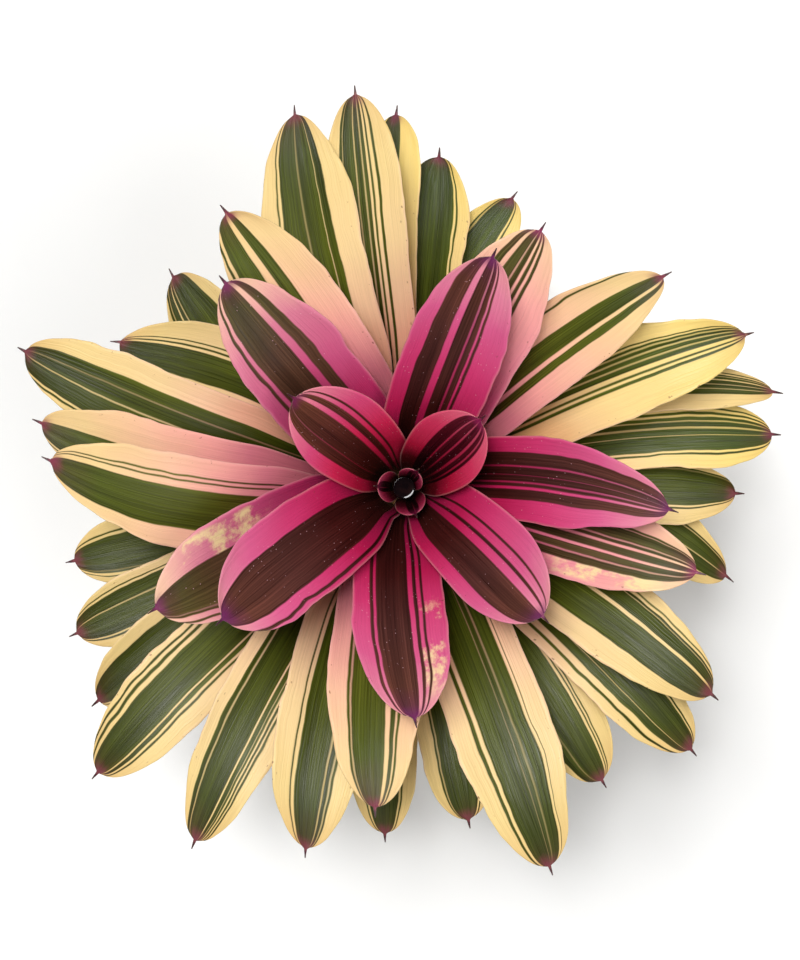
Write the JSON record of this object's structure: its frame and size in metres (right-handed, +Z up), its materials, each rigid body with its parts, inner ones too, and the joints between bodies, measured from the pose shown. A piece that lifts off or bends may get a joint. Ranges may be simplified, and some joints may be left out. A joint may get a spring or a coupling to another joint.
{
  "type": "potted bromeliad",
  "caption": "Rosette bromeliad with cream-striped green and pink strap leaves round a small water-filled cup, in a plain tapered plastic pot.",
  "frame": {"origin": "middle of the pot's flat base, on the surface it stands on", "axes": "+Z up along the pot's and the rosette's axis; +Y towards the top of the rosette as seen from above in its usual view, +X to its right"},
  "size_m": [0.3862, 0.3845, 0.2621],
  "materials": {
    "pot_plastic": "satin",
    "potting_mix": "matte",
    "stem": "matte",
    "cup_water": "gloss",
    "cup_leaf": "satin",
    "pink_leaf": "satin",
    "green_leaf": "satin"
  },
  "bodies": {
    "root": {"pot": "pot_plastic", "potting_mix": "potting_mix", "stem": "stem", "cup_water": "cup_water", "cup_leaf_1": "cup_leaf", "cup_leaf_2": "cup_leaf", "cup_leaf_3": "cup_leaf", "pink_leaf_1": "pink_leaf", "pink_leaf_2": "pink_leaf", "pink_leaf_3": "pink_leaf", "pink_leaf_4": "pink_leaf", "pink_leaf_5": "pink_leaf", "pink_leaf_6": "pink_leaf", "pink_leaf_7": "pink_leaf", "pink_leaf_8": "pink_leaf", "pink_leaf_9": "pink_leaf", "green_leaf_01": "green_leaf", "green_leaf_02": "green_leaf", "green_leaf_03": "green_leaf", "green_leaf_04": "green_leaf", "green_leaf_05": "green_leaf", "green_leaf_06": "green_leaf", "green_leaf_07": "green_leaf", "green_leaf_08": "green_leaf", "green_leaf_09": "green_leaf", "green_leaf_10": "green_leaf", "green_leaf_11": "green_leaf", "green_leaf_12": "green_leaf", "green_leaf_13": "green_leaf", "green_leaf_14": "green_leaf", "green_leaf_15": "green_leaf", "green_leaf_16": "green_leaf", "green_leaf_17": "green_leaf", "green_leaf_18": "green_leaf", "green_leaf_19": "green_leaf", "green_leaf_20": "green_leaf", "green_leaf_21": "green_leaf", "green_leaf_22": "green_leaf", "green_leaf_23": "green_leaf", "green_leaf_24": "green_leaf", "green_leaf_25": "green_leaf", "green_leaf_26": "green_leaf", "green_leaf_27": "green_leaf", "green_leaf_28": "green_leaf", "green_leaf_29": "green_leaf", "green_leaf_30": "green_leaf", "green_leaf_31": "green_leaf", "green_leaf_32": "green_leaf"}
  },
  "joints": []
}
